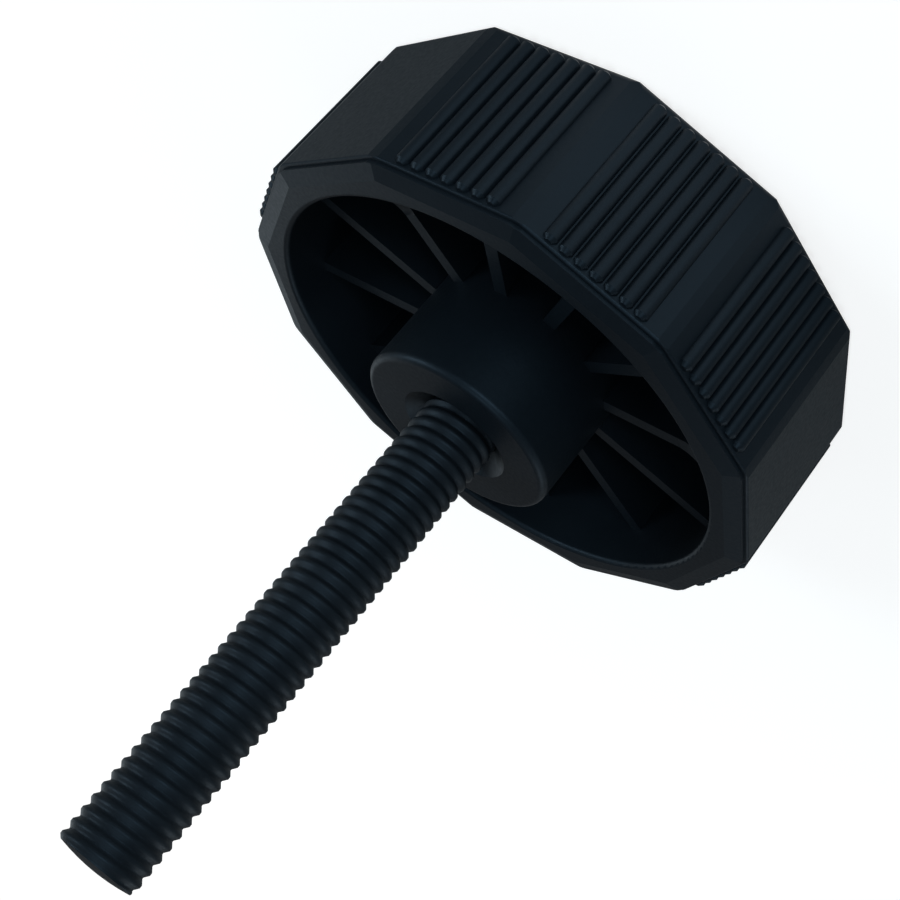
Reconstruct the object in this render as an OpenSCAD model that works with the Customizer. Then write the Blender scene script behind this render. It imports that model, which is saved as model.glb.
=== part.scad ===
// Twelve-sided hand knob with a moulded-in threaded stud.
// It stands on its closed face, with the stud pointing up along +Z.
// The origin is the centre of the closed face. All sizes are in millimetres.

/* [Head] */
// Width of the head across two opposite flats
across_flats = 56; // [46:0.1:80]
// Height of the head from the closed face to the rim's end face
head_h = 18.5; // [15:0.1:26]
// Thickness of the wall, from a flat to the round recess
wall_t = 3.6; // [2.8:0.1:5]
// Thickness of the closed end
floor_t = 3; // [2:0.1:5]
// Radius of the rounded edge round the closed face
back_round = 0.8; // [0.3:0.1:1.5]
// Amount taken off each corner between two flats, measured along a radius
corner_ease = 0.15; // [0.05:0.01:0.4]

/* [Rim] */
// Height of the rim lip above the end of the flats
lip_h = 0.8; // [0.5:0.1:2]
// Distance that the lip is set back from the flats
lip_inset = 0.4; // [0.2:0.05:1]
// Width of the bevelled outer part of the lip's end face
bevel_w = 1.6; // [0.8:0.1:2.4]
// Distance that the bevel falls to the lip's outer edge
bevel_drop = 0.45; // [0.2:0.05:0.45]
// Radius of the rounded end of the flats below the lip
flat_round = 0.25; // [0.1:0.05:0.5]
// Radius of the rounded mouth of the recess
mouth_round = 0.5; // [0.2:0.05:0.55]

/* [Ridges] */
// Distance between the centres of two neighbouring ridges
ridge_pitch = 1.55; // [1.5:0.05:3]
// Width of one half-round ridge
ridge_w = 1.4; // [0.8:0.05:1.45]
// Least plain width left at each end of a ridged flat
ridge_margin = 1.9; // [1:0.1:4]
// Distance of the ridges' tips from the rounded edges at the two ends of a flat
ridge_clear = 0.1; // [0.05:0.05:1]

/* [Ribs] */
// Thickness of a radial rib
rib_t = 1.4; // [0.8:0.1:2.5]
// Distance of the rib tops below the rim's end face
rib_drop = 4.7; // [3.5:0.1:8]
// Thickness, at the wall, of the webs that join the ribs behind the plain flats to it
web_t = 2.8; // [1.6:0.1:4]
// Length of a web along its rib
web_run = 6; // [4.5:0.1:8]
// Distance of a web's top below the rim's end face
web_drop = 0.6; // [0.6:0.1:2.5]

/* [Boss] */
// Diameter of the boss that holds the stud
boss_d = 20.6; // [19:0.1:28]
// Height of the boss face above the rim's end face
boss_rise = 5.3; // [2:0.1:10]
// Radius of the boss's rounded edge
boss_round = 0.7; // [0.3:0.1:1.5]
// Diameter of the countersink round the stud, at the boss face
countersink_d = 11.6; // [10:0.1:14]

/* [Stud] */
// Outside diameter of the thread
stud_d = 8; // [6:0.1:10]
// Pitch of the thread, which sets the diameter of the plain shank
thread_pitch = 1.25; // [0.75:0.01:1.5]
// Length of the stud in front of the boss face
stud_len = 50; // [20:0.5:120]
// Chamfer at the stud's tip
tip_chamfer = 0.5; // [0.2:0.1:1.2]
// Width across flats of the hexagonal head inside the boss
anchor_af = 13; // [11:0.05:15]
// Height of the hexagonal head
anchor_h = 5.3; // [3:0.1:7]
// Plastic between the closed face and the hexagonal head
anchor_cover = 5; // [3:0.1:7]
// Gap between the moulding and the stud inside it
insert_gap = 0.02; // [0.01:0.01:0.1]

/* [Hidden] */
$fn = 96;

// Layout of the twelve flats: every fourth one is plain
flats = 12;
plain_every = 4;
flat_angle = 360 / flats;
apothem = across_flats / 2;
flat_w = 2 * apothem * tan(flat_angle / 2);
ridges = floor((flat_w - 2 * ridge_margin) / ridge_pitch);

// Levels along the axis
flats_top = head_h - lip_h;
lip_root = flats_top - lip_h;
rib_top = head_h - rib_drop;
boss_top = head_h + boss_rise;
anchor_top = anchor_cover + anchor_h;
stud_top = boss_top + stud_len;

// Radii
recess_r = apothem - wall_t;
lip_reach = apothem - lip_inset;
boss_r = boss_d / 2;
ridge_r = ridge_w / 2;
ridge_tip = ridge_r / 2;
web_rise = rib_drop - web_drop;
web_curve_r = (pow(web_run, 2) + pow(web_rise, 2)) / (2 * web_rise);
// A metric thread's pitch diameter is smaller than its outside diameter by this share of the pitch
shank_d = stud_d - 0.6495 * thread_pitch;

// Depth that pieces of one moulding run into each other
blend = rib_t / 3;
// Length that a cutting shape runs past the surface that it cuts
over = floor_t / 3;
// Reach of a slab behind the axis, which clears the flat on the far side
slab_back = 1.3 * apothem;

// Section of the slab that ends in one flat, from the closed face to the lip
module flat_section() {
    low = back_round;
    high = flats_top - flat_round;
    translate([-slab_back, 0])
        square([slab_back + apothem - back_round, high]);
    translate([-slab_back, low])
        square([slab_back + apothem, high - low]);
    translate([-slab_back, low])
        square([slab_back + apothem - flat_round, flats_top - low]);
    translate([apothem - back_round, low])
        circle(back_round);
    translate([apothem - flat_round, high])
        circle(flat_round);
}

// Section of the slab that ends in one side of the lip, with its bevelled end face
module lip_section() {
    polygon([
        [-slab_back, lip_root],
        [lip_reach, lip_root],
        [lip_reach, head_h - bevel_drop],
        [lip_reach - bevel_w, head_h],
        [-slab_back, head_h]
    ]);
}

// Twelve-sided solid common to twelve slabs of one section, with eased corners
module twelve_sided(reach) {
    corner = reach / cos(flat_angle / 2);
    intersection() {
        intersection_for (k = [0 : flats - 1])
            rotate([90, 0, k * flat_angle])
                linear_extrude(height = 2 * slab_back, center = true)
                    children();
        translate([0, 0, -over])
            cylinder(r = corner - corner_ease, h = head_h + 2 * over);
    }
}

// One raised ridge with bevelled tips, standing on a flat
module ridge() {
    low = back_round + ridge_clear;
    length = flats_top - flat_round - ridge_clear - low;
    translate([apothem, 0, low])
        rotate_extrude()
            polygon([
                [0, 0],
                [ridge_r - ridge_tip, 0],
                [ridge_r, ridge_tip],
                [ridge_r, length - ridge_tip],
                [ridge_r - ridge_tip, length],
                [0, length]
            ]);
}

// The row of ridges on one flat
module ridge_row() {
    for (i = [0 : ridges - 1])
        translate([0, (i - (ridges - 1) / 2) * ridge_pitch, 0])
            ridge();
}

// The head's outside: the flats, the lip and the ridges
module outer_form() {
    twelve_sided(apothem)
        flat_section();
    twelve_sided(lip_reach)
        lip_section();
    for (k = [0 : flats - 1])
        if (k % plain_every != 0)
            rotate(k * flat_angle)
                ridge_row();
}

// The round recess with its rounded mouth
module recess() {
    rotate_extrude() {
        translate([0, floor_t])
            square([recess_r, head_h - floor_t + over]);
        difference() {
            translate([0, head_h - mouth_round])
                square([recess_r + mouth_round, mouth_round + over]);
            translate([recess_r + mouth_round, head_h - mouth_round])
                circle(mouth_round);
        }
    }
}

// One rib from the boss to the wall
module rib() {
    start = boss_r - blend;
    translate([start, -rib_t / 2, floor_t - blend])
        cube([recess_r + blend - start, rib_t, rib_top - floor_t + blend]);
}

// A web that widens from a rib and sweeps up the wall behind a plain flat
module web() {
    start = recess_r - web_run;
    end = recess_r + blend;
    intersection() {
        rotate([90, 0, 0])
            linear_extrude(height = web_t, center = true)
                difference() {
                    translate([start, floor_t - blend])
                        square([end - start, rib_top + web_rise - floor_t + blend]);
                    translate([start, rib_top + web_curve_r])
                        circle(web_curve_r);
                }
        linear_extrude(height = head_h)
            polygon([[start, -rib_t / 2], [end, -web_t / 2], [end, web_t / 2], [start, rib_t / 2]]);
    }
}

// The boss with its rounded edge
module boss() {
    rotate_extrude() {
        translate([0, floor_t - blend])
            square([boss_r, boss_top - boss_round - floor_t + blend]);
        translate([0, floor_t - blend])
            square([boss_r - boss_round, boss_top - floor_t + blend]);
        translate([boss_r - boss_round, boss_top - boss_round])
            circle(boss_round);
    }
}

// The space that the stud fills in the moulding, with the countersink at the boss face
module stud_pocket() {
    bore_r = shank_d / 2 + insert_gap;
    sink = countersink_d / 2 - bore_r;
    translate([0, 0, anchor_cover - insert_gap])
        hex_prism(anchor_af + 2 * insert_gap, anchor_h + 2 * insert_gap);
    translate([0, 0, anchor_top])
        cylinder(r = bore_r, h = boss_top - anchor_top + over);
    translate([0, 0, boss_top - sink])
        cylinder(r1 = bore_r, r2 = bore_r + 2 * sink, h = 2 * sink);
}

module hex_prism(af, h) {
    cylinder(d = af / cos(30), h = h, $fn = 6);
}

module knob_head() {
    color([0.07, 0.08, 0.1])
        difference() {
            union() {
                difference() {
                    outer_form();
                    recess();
                }
                for (k = [0 : flats - 1])
                    rotate(k * flat_angle)
                        rib();
                for (k = [0 : plain_every : flats - 1])
                    rotate(k * flat_angle)
                        web();
                boss();
            }
            stud_pocket();
        }
}

module threaded_stud() {
    color([0.1, 0.11, 0.13]) {
        translate([0, 0, anchor_cover])
            hex_prism(anchor_af, anchor_h);
        translate([0, 0, anchor_top - blend])
            cylinder(d = shank_d, h = boss_top - anchor_top + 2 * blend);
        translate([0, 0, boss_top])
            cylinder(d = stud_d, h = stud_len - tip_chamfer);
        translate([0, 0, stud_top - tip_chamfer])
            cylinder(d1 = stud_d, d2 = stud_d - 2 * tip_chamfer, h = tip_chamfer);
    }
}

knob_head();
threaded_stud();
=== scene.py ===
"""Twelve-sided hand knob in black plastic with a threaded steel stud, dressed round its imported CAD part."""

import math

import bmesh
import bpy
from mathutils import Matrix, Vector


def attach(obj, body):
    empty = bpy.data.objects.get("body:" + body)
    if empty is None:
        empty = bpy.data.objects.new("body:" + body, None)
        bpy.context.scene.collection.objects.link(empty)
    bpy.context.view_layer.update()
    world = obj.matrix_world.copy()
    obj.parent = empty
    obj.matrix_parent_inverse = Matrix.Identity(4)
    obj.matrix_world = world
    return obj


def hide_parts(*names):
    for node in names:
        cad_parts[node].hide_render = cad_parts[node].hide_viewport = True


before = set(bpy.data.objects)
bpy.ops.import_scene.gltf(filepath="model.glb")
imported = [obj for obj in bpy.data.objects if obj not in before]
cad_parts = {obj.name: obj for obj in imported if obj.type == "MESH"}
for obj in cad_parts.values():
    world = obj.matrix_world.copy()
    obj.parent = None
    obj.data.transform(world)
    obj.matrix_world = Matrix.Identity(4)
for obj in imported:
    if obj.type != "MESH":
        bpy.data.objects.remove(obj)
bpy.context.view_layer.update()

MM = 0.001

# Sizes of the stud in millimetres, the same as in the CAD source
BOSS_TOP = 23.8
STUD_LEN = 50.0
STUD_D = 8.0
THREAD_PITCH = 1.25
SHANK_D = STUD_D - 0.6495 * THREAD_PITCH
ANCHOR_AF = 13.0
ANCHOR_LOW = 5.0
ANCHOR_HIGH = 10.3
# Bevel on the edges of the stud's head in millimetres, which only this mesh has
HEX_BEVEL = 0.3

# Form of the thread in millimetres: it starts below the boss face and grows out of the shank
THREAD_SUNK = 2.0
THREAD_START = BOSS_TOP - THREAD_SUNK
RUN_OUT = 1.2
THREAD_DEPTH = 0.33

# Shares of one pitch that the crest, the root and each flank take up
CREST_SHARE = 0.22
ROOT_SHARE = 0.10
FLANK_SHARE = (1 - CREST_SHARE - ROOT_SHARE) / 2

# Form of the tip in millimetres, and the rings of its dome as shares of its radius
STUD_TIP = BOSS_TOP + STUD_LEN
TIP_DOME = 0.35
TIP_CHAMFER = 0.32
TIP_RING = STUD_TIP - TIP_DOME
TIP_R = STUD_D / 2 - TIP_CHAMFER
DOME_SHARES = (0.92, 0.7, 0.45, 0.2)

# Mesh of the thread: columns round the stud, and strips across the root, a flank, the crest and a flank
THREAD_COLUMNS = 72
PROFILE_STRIPS = (1, 3, 1, 3)
# Edges that turn by more degrees than this stay sharp
SHARP_ANGLE = 38.0
# Tolerances in metres, for cutting the thread's ends and for finding the cut edges
CUT_TOLERANCE = 1e-7
LEVEL_TOLERANCE = 1e-6

# Camera fitted to the photograph: where it aims, in millimetres, and how it stands to that point
AIM = (0.543, -0.294, 25.190)
AZIMUTH = 61.544
ELEVATION = 21.027
DISTANCE = 140.75
ROLL = 140.354
LENS = 60.0
SENSOR = 36.0
CLIP_NEAR = 0.005
CLIP_FAR = 50.0

# Soft boxes round the object: name, azimuth in degrees, height of the middle in metres, watts
LAMPS = (
    ("front", 60.0, 0.14, 2.00),
    ("top", 60.0, 1.20, 3.60),
    ("left", 150.0, 0.38, 2.00),
    ("back", 212.0, 0.20, 0.36),
    ("right_high", 300.0, 0.40, 0.62),
    ("right", 330.0, 0.14, 0.28),
)
LAMP_DISTANCE = 0.6
LAMP_WIDTH = 0.36
LAMP_HEIGHT = 0.28
LAMP_COLOUR = (0.81, 0.93, 1.0)

# Light of the room: height of a direction, from 0 at the horizon to 1 overhead, and the level there
ROOM = ((0.0, 0.17), (0.4, 0.16), (0.8, 0.15))

# Cool cast of the black surfaces' gloss, and the stretch of the grain's noise that roughness follows
COOL_GLOSS = (0.50, 0.76, 1.0)
GRAIN_RANGE = (0.3, 0.7)
# How much of every noise is in its finer layers
NOISE_ROUGHNESS = 0.55

# The floor in metres: radii of its mesh rings, the radius up to which it is level, and its rise beyond
FLOOR_RINGS = (0.25, 0.6, 1.2, 2.4, 3.6, 4.8, 6.0)
FLOOR_STEPS = 64
FLOOR_LEVEL = 2.4
FLOOR_CURVE = 0.05
# The floor's own colour, which is mid grey so that it throws little light back at the object
FLOOR_TONES = ((0.3, (0.37, 0.38, 0.38)), (0.7, (0.39, 0.40, 0.40)))
FLOOR_NOISE = (6.0, 2.0)

# Glow of the floor to the camera: it rises between two distances from the axis, in metres
FLOOR_NEAR = 0.06
FLOOR_FAR = 0.5
GLOW_NEAR = 0.75
GLOW_FAR = 1.0

# Glow of the floor in reflections, a painted reflection: a bright spot, in metres, before the flat facing the
# camera
MIRROR_SPOT = (0.0215, 0.0520, 0.0)
MIRROR_CORE = 0.017
MIRROR_REACH = 0.043
MIRROR_BRIGHT = 1.0
MIRROR_DIM = 0.05


def metres(*values):
    """Millimetres as metres."""
    return tuple(v * MM for v in values)


def around(radius, angle, z):
    """Point in metres, from a radius and a height in millimetres and an angle in radians round the axis."""
    return metres(radius * math.cos(angle), radius * math.sin(angle), z)


def direction(azimuth, elevation):
    """Unit vector from the object towards an azimuth and elevation in degrees."""
    a, e = math.radians(azimuth), math.radians(elevation)
    return Vector((math.cos(e) * math.cos(a), math.cos(e) * math.sin(a), math.sin(e)))


def facing(back, roll=0.0):
    """Rotation whose local +Z is back, turned about it by roll degrees."""
    back = back.normalized()
    level_right = Vector((0, 0, 1)).cross(back).normalized()
    level_up = back.cross(level_right)
    turn = math.radians(roll)
    up = level_up * math.cos(turn) + level_right * math.sin(turn)
    right = up.cross(back)
    return Matrix((right, up, back)).transposed().to_4x4()


def add_object(name, data):
    """Adds an object to the scene."""
    obj = bpy.data.objects.new(name, data)
    bpy.context.scene.collection.objects.link(obj)
    return obj


def add_mesh(name, bm):
    """Adds a finished mesh to the scene as a smooth object."""
    mesh = bpy.data.meshes.new(name)
    bm.to_mesh(mesh)
    bm.free()
    mesh.shade_smooth()
    return add_object(name, mesh)


class Nodes:
    """Short way to add and join the nodes of one node tree."""

    def __init__(self, tree):
        self.tree = tree
        tree.nodes.clear()

    def add(self, kind, **settings):
        node = self.tree.nodes.new(kind)
        for name, value in settings.items():
            setattr(node, name, value)
        return node

    def join(self, out, into):
        self.tree.links.new(out, into)

    def noise(self, coords, scale, detail):
        node = self.add("ShaderNodeTexNoise")
        node.inputs["Scale"].default_value = scale
        node.inputs["Detail"].default_value = detail
        node.inputs["Roughness"].default_value = NOISE_ROUGHNESS
        self.join(coords, node.inputs["Vector"])
        return node.outputs["Fac"]

    def spread(self, value, low, high, out_low, out_high, kind="LINEAR"):
        node = self.add("ShaderNodeMapRange", interpolation_type=kind)
        node.inputs["From Min"].default_value = low
        node.inputs["From Max"].default_value = high
        node.inputs["To Min"].default_value = out_low
        node.inputs["To Max"].default_value = out_high
        self.join(value, node.inputs["Value"])
        return node.outputs["Result"]

    def ramp(self, value, stops):
        node = self.add("ShaderNodeValToRGB")
        elements = node.color_ramp.elements
        while len(elements) < len(stops):
            elements.new(0.5)
        for element, (place, colour) in zip(elements, stops):
            element.position = place
            element.color = (*colour, 1)
        self.join(value, node.inputs["Fac"])
        return node.outputs["Color"]

    def bump(self, height, strength, distance):
        node = self.add("ShaderNodeBump")
        node.inputs["Strength"].default_value = strength
        node.inputs["Distance"].default_value = distance
        self.join(height, node.inputs["Height"])
        return node.outputs["Normal"]

    def calc(self, operation, *values):
        node = self.add("ShaderNodeMath", operation=operation)
        for value, socket in zip(values, node.inputs):
            self.join(value, socket)
        return node.outputs["Value"]


def satin_black(name, tones, tone_noise, grain_noise, rough, gloss, grain_bump):
    """Dark satin surface: soft changes of tone, and a fine grain that its gloss and its bumps share.

    A noise is its scale and detail, rough the least and most roughness, and grain_bump a strength and a
    height in metres.
    """
    material = bpy.data.materials.new(name)
    material.use_nodes = True
    n = Nodes(material.node_tree)
    coords = n.add("ShaderNodeTexCoord").outputs["Object"]
    broad = n.noise(coords, *tone_noise)
    fine = n.noise(coords, *grain_noise)
    shader = n.add("ShaderNodeBsdfPrincipled")
    n.join(n.ramp(broad, tones), shader.inputs["Base Color"])
    n.join(n.spread(fine, *GRAIN_RANGE, *rough), shader.inputs["Roughness"])
    shader.inputs["Specular IOR Level"].default_value = gloss
    shader.inputs["Specular Tint"].default_value = (*COOL_GLOSS, 1)
    n.join(n.bump(fine, *grain_bump), shader.inputs["Normal"])
    n.join(shader.outputs["BSDF"], n.add("ShaderNodeOutputMaterial").inputs["Surface"])
    return material


def moulded_plastic():
    """Satin black moulding with a fine spark-eroded grain."""
    return satin_black(
        "moulded_plastic_satin",
        tones=((0.30, (0.0026, 0.0043, 0.0063)), (0.70, (0.0036, 0.0058, 0.0082))),
        tone_noise=(90.0, 3.0),
        grain_noise=(2600.0, 2.0),
        rough=(0.42, 0.50),
        gloss=0.18,
        grain_bump=(0.18, 0.00006),
    )


def black_steel():
    """Blackened steel of the stud, a little paler than the moulding and with a finer grain."""
    return satin_black(
        "black_steel_oxide",
        tones=((0.30, (0.0045, 0.0064, 0.0085)), (0.72, (0.0071, 0.0097, 0.0126))),
        tone_noise=(260.0, 4.0),
        grain_noise=(3200.0, 3.0),
        rough=(0.42, 0.52),
        gloss=0.13,
        grain_bump=(0.15, 0.00005),
    )


def floor_white():
    """Studio floor: its grey keeps the object's shadow, its glow shows white to the camera and paints a
    reflection.
    """
    material = bpy.data.materials.new("floor_white")
    material.use_nodes = True
    n = Nodes(material.node_tree)
    coords = n.add("ShaderNodeTexCoord").outputs["Object"]
    paper = n.add("ShaderNodeBsdfDiffuse")
    n.join(n.ramp(n.noise(coords, *FLOOR_NOISE), FLOOR_TONES), paper.inputs["Color"])

    # The glow to the camera rises away from the object, where the lamps no longer reach
    away = n.add("ShaderNodeVectorMath", operation="LENGTH")
    n.join(coords, away.inputs[0])
    to_camera = n.spread(away.outputs["Value"], FLOOR_NEAR, FLOOR_FAR, GLOW_NEAR, GLOW_FAR)

    # The painted reflection: the glow in reflections falls off round one spot, which the camera itself never
    # sees
    spot = n.add("ShaderNodeVectorMath", operation="DISTANCE")
    n.join(coords, spot.inputs[0])
    spot.inputs[1].default_value = MIRROR_SPOT
    to_gloss = n.spread(spot.outputs["Value"], MIRROR_CORE, MIRROR_REACH,
                        MIRROR_BRIGHT, MIRROR_DIM, "SMOOTHSTEP")

    path = n.add("ShaderNodeLightPath").outputs
    seen = n.calc("MULTIPLY", to_camera, path["Is Camera Ray"])
    mirrored = n.calc("MAXIMUM", path["Is Glossy Ray"], path["Is Transmission Ray"])
    glow = n.add("ShaderNodeEmission")
    n.join(n.calc("MULTIPLY_ADD", mirrored, to_gloss, seen), glow.inputs["Strength"])
    both = n.add("ShaderNodeAddShader")
    n.join(paper.outputs["BSDF"], both.inputs[0])
    n.join(glow.outputs["Emission"], both.inputs[1])
    n.join(both.outputs["Shader"], n.add("ShaderNodeOutputMaterial").inputs["Surface"])
    return material


def dress(obj, material):
    """Gives every material slot of an object the same material."""
    if not obj.material_slots:
        obj.data.materials.append(material)
    for slot in obj.material_slots:
        slot.material = material


def thread_radius(turn):
    """Radius of the thread's profile in millimetres, where each whole turn is one pitch."""
    crest = STUD_D / 2
    root = crest - THREAD_DEPTH
    turn = turn % 1.0
    if turn < ROOT_SHARE:
        return root
    if turn < ROOT_SHARE + FLANK_SHARE:
        return root + THREAD_DEPTH * (turn - ROOT_SHARE) / FLANK_SHARE
    if turn < ROOT_SHARE + FLANK_SHARE + CREST_SHARE:
        return crest
    return crest - THREAD_DEPTH * (turn - ROOT_SHARE - FLANK_SHARE - CREST_SHARE) / FLANK_SHARE


def profile_places():
    """Places along one pitch, from 0 to 1, where the thread's mesh has a line."""
    marks = [0, ROOT_SHARE, ROOT_SHARE + FLANK_SHARE, ROOT_SHARE + FLANK_SHARE + CREST_SHARE, 1]
    places = []
    for low, high, strips in zip(marks, marks[1:], PROFILE_STRIPS):
        places += [low + (high - low) * i / strips for i in range(strips)]
    return places


def add_thread(bm):
    """The right-hand thread, as a grid sheared by the helix, so that its lines follow the crest and root."""
    places = profile_places()
    per_turn = len(places)
    turns = math.ceil((STUD_TIP - THREAD_START) / THREAD_PITCH) + 2
    grid = []
    for i in range(THREAD_COLUMNS):
        share = i / THREAD_COLUMNS
        column = []
        for j in range(turns * per_turn + 1):
            turn = j // per_turn + places[j % per_turn]
            z = THREAD_START + (turn + share - 1) * THREAD_PITCH
            fade = min(max((z - THREAD_START) / RUN_OUT, 0.0), 1.0)
            r = SHANK_D / 2 + (thread_radius(turn) - SHANK_D / 2) * fade
            r = min(r, TIP_R + max(TIP_RING - z, 0.0))
            column.append(bm.verts.new(around(r, 2 * math.pi * share, z)))
        grid.append(column)

    # The last column meets the first one a whole turn further up
    for i in range(THREAD_COLUMNS):
        seam = per_turn if i == THREAD_COLUMNS - 1 else 0
        here = grid[i]
        beside = grid[(i + 1) % THREAD_COLUMNS]
        for j in range(turns * per_turn):
            if j + 1 + seam < len(beside):
                bm.faces.new((here[j], beside[j + seam], beside[j + 1 + seam], here[j + 1]))

    # Both ends are cut square to the axis
    for z, side in ((THREAD_START, -1), (TIP_RING, 1)):
        bmesh.ops.bisect_plane(bm, geom=bm.verts[:] + bm.edges[:] + bm.faces[:], dist=CUT_TOLERANCE,
                               plane_co=metres(0, 0, z), plane_no=(0, 0, side), clear_outer=True)
    loose = [v for v in bm.verts if not v.link_faces]
    bmesh.ops.delete(bm, geom=loose, context="VERTS")


def ring_at(bm, z):
    """Border vertices at a height, in order of angle."""
    found = [v for v in bm.verts if v.is_boundary and abs(v.co.z - z * MM) < LEVEL_TOLERANCE]
    return sorted(found, key=lambda v: math.atan2(v.co.y, v.co.x))


def next_ring(bm, ring, radius, z):
    """A ring at the same angles, joined to the one before, with its radius as a function of the angle."""
    made = []
    for v in ring:
        angle = math.atan2(v.co.y, v.co.x)
        made.append(bm.verts.new(around(radius(angle), angle, z)))
    for k in range(len(ring)):
        m = (k + 1) % len(ring)
        bm.faces.new((ring[k], ring[m], made[m], made[k]))
    return made


def close_ring(bm, ring, z):
    """Closes the mesh with a fan from a ring to a point on the axis."""
    middle = bm.verts.new(metres(0, 0, z))
    for k in range(len(ring)):
        bm.faces.new((ring[k], ring[(k + 1) % len(ring)], middle))


def circle(r):
    """The radius of a circle, which is the same at every angle."""
    return lambda angle: r


def hexagon(inset):
    """The radius of the head's hexagon at an angle, with its flats set in by a distance."""
    def radius(angle):
        sixth = math.degrees(angle) % 60 - 30
        return (ANCHOR_AF / 2 - inset) / math.cos(math.radians(sixth))
    return radius


def add_tip(bm):
    """The tip, a low dome inside the chamfer."""
    ring = ring_at(bm, TIP_RING)
    for share in DOME_SHARES:
        ring = next_ring(bm, ring, circle(TIP_R * share), STUD_TIP - TIP_DOME * share ** 2)
    close_ring(bm, ring, STUD_TIP)


def add_anchor(bm):
    """The shank below the thread, and the hexagonal head that the plastic grips."""
    ring = next_ring(bm, ring_at(bm, THREAD_START), circle(SHANK_D / 2), ANCHOR_HIGH)
    ring = next_ring(bm, ring, hexagon(HEX_BEVEL), ANCHOR_HIGH)
    ring = next_ring(bm, ring, hexagon(0), ANCHOR_HIGH - HEX_BEVEL)
    ring = next_ring(bm, ring, hexagon(0), ANCHOR_LOW + HEX_BEVEL)
    ring = next_ring(bm, ring, hexagon(HEX_BEVEL), ANCHOR_LOW)
    close_ring(bm, ring, ANCHOR_LOW)


def build_stud():
    """The stud as one closed mesh: thread, tip, shank and head."""
    bm = bmesh.new()
    add_thread(bm)
    add_tip(bm)
    add_anchor(bm)
    bmesh.ops.recalc_face_normals(bm, faces=bm.faces[:])
    stud = add_mesh("stud_thread", bm)
    stud.data.set_sharp_from_angle(angle=math.radians(SHARP_ANGLE))
    return stud


def add_floor():
    """A round floor, which turns up gently far from the object."""
    bm = bmesh.new()
    centre = bm.verts.new((0, 0, 0))
    before = None
    for r in FLOOR_RINGS:
        rise = FLOOR_CURVE * max(r - FLOOR_LEVEL, 0) ** 2
        angles = [2 * math.pi * k / FLOOR_STEPS for k in range(FLOOR_STEPS)]
        ring = [bm.verts.new((r * math.cos(a), r * math.sin(a), rise)) for a in angles]
        for k in range(FLOOR_STEPS):
            m = (k + 1) % FLOOR_STEPS
            if before is None:
                bm.faces.new((centre, ring[k], ring[m]))
            else:
                bm.faces.new((before[k], ring[k], ring[m], before[m]))
        before = ring
    floor = add_mesh("studio_floor", bm)
    dress(floor, floor_white())


def add_lamp(name, azimuth, level, watts):
    """A soft box that looks at the middle of the object."""
    data = bpy.data.lights.new(name, "AREA")
    data.shape = "RECTANGLE"
    data.size = LAMP_WIDTH
    data.size_y = LAMP_HEIGHT
    data.energy = watts
    data.color = LAMP_COLOUR
    lamp = add_object(name, data)
    place = direction(azimuth, 0.0) * LAMP_DISTANCE + Vector((0, 0, level))
    lamp.matrix_world = Matrix.Translation(place) @ facing(place - Vector(metres(*AIM)))


def add_world():
    """A dim room, a little paler near the horizon, which shows white to the camera."""
    world = bpy.data.worlds.new("studio")
    world.use_nodes = True
    n = Nodes(world.node_tree)
    parts = n.add("ShaderNodeSeparateXYZ")
    n.join(n.add("ShaderNodeTexCoord").outputs["Generated"], parts.inputs["Vector"])
    greys = [(height, (level,) * 3) for height, level in ROOM]
    room = n.add("ShaderNodeBackground")
    n.join(n.ramp(parts.outputs["Z"], greys), room.inputs["Color"])
    white = n.add("ShaderNodeBackground")
    white.inputs["Color"].default_value = (1, 1, 1, 1)
    either = n.add("ShaderNodeMixShader")
    n.join(n.add("ShaderNodeLightPath").outputs["Is Camera Ray"], either.inputs["Fac"])
    n.join(room.outputs["Background"], either.inputs[1])
    n.join(white.outputs["Background"], either.inputs[2])
    n.join(either.outputs["Shader"], n.add("ShaderNodeOutputWorld").inputs["Surface"])
    bpy.context.scene.world = world


def add_camera():
    """The camera at the photograph's viewing angle."""
    data = bpy.data.cameras.new("photo_camera")
    data.lens = LENS
    data.sensor_fit = "HORIZONTAL"
    data.sensor_width = SENSOR
    data.clip_start = CLIP_NEAR
    data.clip_end = CLIP_FAR
    camera = add_object("photo_camera", data)
    away = direction(AZIMUTH, ELEVATION)
    place = Vector(metres(*AIM)) + away * DISTANCE * MM
    camera.matrix_world = Matrix.Translation(place) @ facing(away, ROLL)
    bpy.context.scene.camera = camera


bpy.context.scene.view_settings.view_transform = "Standard"
dress(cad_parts["knob_head"], moulded_plastic())
stud = build_stud()
steel = black_steel()
dress(stud, steel)
dress(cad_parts["threaded_stud"], steel)
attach(stud, "root")
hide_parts("threaded_stud")
add_floor()
add_world()
for lamp in LAMPS:
    add_lamp(*lamp)
add_camera()
